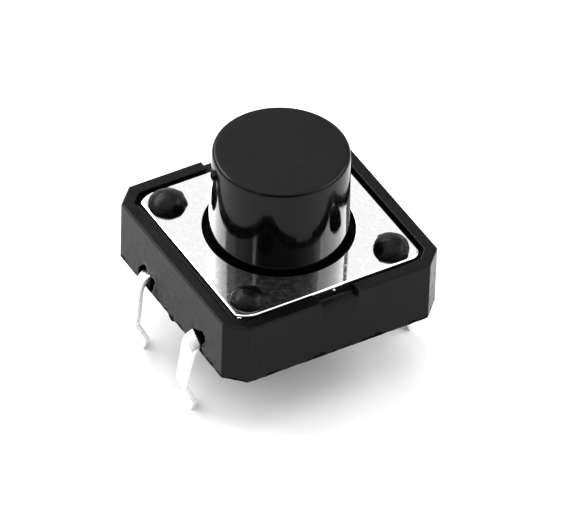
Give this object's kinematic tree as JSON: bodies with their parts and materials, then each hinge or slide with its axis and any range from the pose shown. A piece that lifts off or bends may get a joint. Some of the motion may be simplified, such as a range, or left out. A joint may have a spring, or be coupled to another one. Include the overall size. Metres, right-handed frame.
{
  "type": "tactile push button switch",
  "caption": "Square tactile push button switch with a tall round plunger, a staked sheet metal cover and kinked through-hole pins.",
  "frame": {"origin": "middle of the base's underside, the face that sits on the circuit board", "axes": "+Z along the plunger away from the board, X across the two sides that the pins come out of, Y along those sides"},
  "size_m": [0.0136, 0.012, 0.0119],
  "materials": {
    "base_plastic": "black moulded nylon, fine matt surface",
    "plunger_plastic": "black moulded acetal, polished sides and a matt flat top",
    "cover_steel": "bright rolled sheet, near mirror",
    "contact_metal": "silver plated spring strip",
    "terminal_tin": "bright tin plated brass"
  },
  "bodies": {
    "housing": {"base": "base_plastic", "cover": "cover_steel", "terminal_front": "terminal_tin", "terminal_rear": "terminal_tin", "contact_dome": "contact_metal"},
    "plunger": {"plunger": "plunger_plastic"}
  },
  "joints": [
    {"name": "plunger_press", "type": "slide", "parent": "housing", "child": "plunger", "axis": [0, 0, -1], "range_m": [0, 0.0003], "stiffness_N_per_m": 5000, "deforming": ["contact_dome"]}
  ]
}
